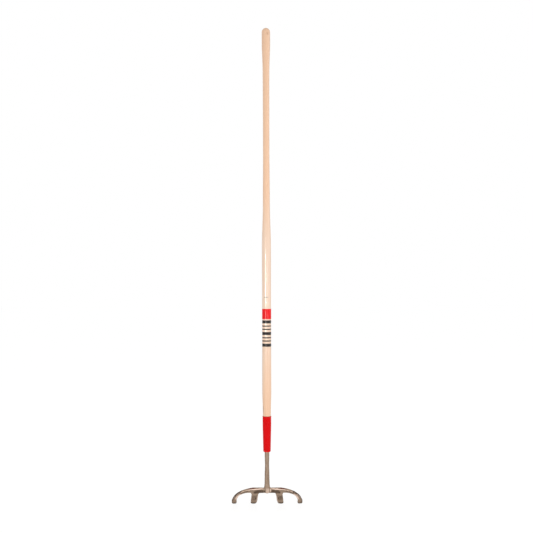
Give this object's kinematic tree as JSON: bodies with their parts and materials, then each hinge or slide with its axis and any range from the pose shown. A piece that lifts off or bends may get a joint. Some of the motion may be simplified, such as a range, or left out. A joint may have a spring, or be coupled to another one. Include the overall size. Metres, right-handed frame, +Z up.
{
  "type": "potato hook",
  "caption": "Long-handled potato hook: turned ash handle, red steel ferrule and a forged head whose slender tines turn back at the heel to lift roots out of the soil.",
  "frame": {"origin": "on the handle's axis at its slim waist, 981.5 mm above the ferrule's foot, where a rack clip or a hand holds it", "axes": "+Z up the handle to its butt, +Y the way the tines point, +X to the right of someone who looks at the heels of the tines from -Y"},
  "size_m": [0.2342, 0.2114, 1.5889],
  "materials": {
    "ash": "turned pale ash under clear lacquer, grain along the handle",
    "ferrule_paint": "glossy red enamel on drawn steel",
    "forged_steel": "forged, ground and lacquered bare steel with a warm cast and darker forge marks",
    "rivet_paint": "the ferrule's red enamel over a domed steel rivet",
    "label_film": "plain red printed film"
  },
  "bodies": {
    "root": {"handle": "ash", "ferrule": "ferrule_paint", "forged_head": "forged_steel", "tang_rivet": "rivet_paint", "label_band": "label_film"}
  },
  "joints": []
}
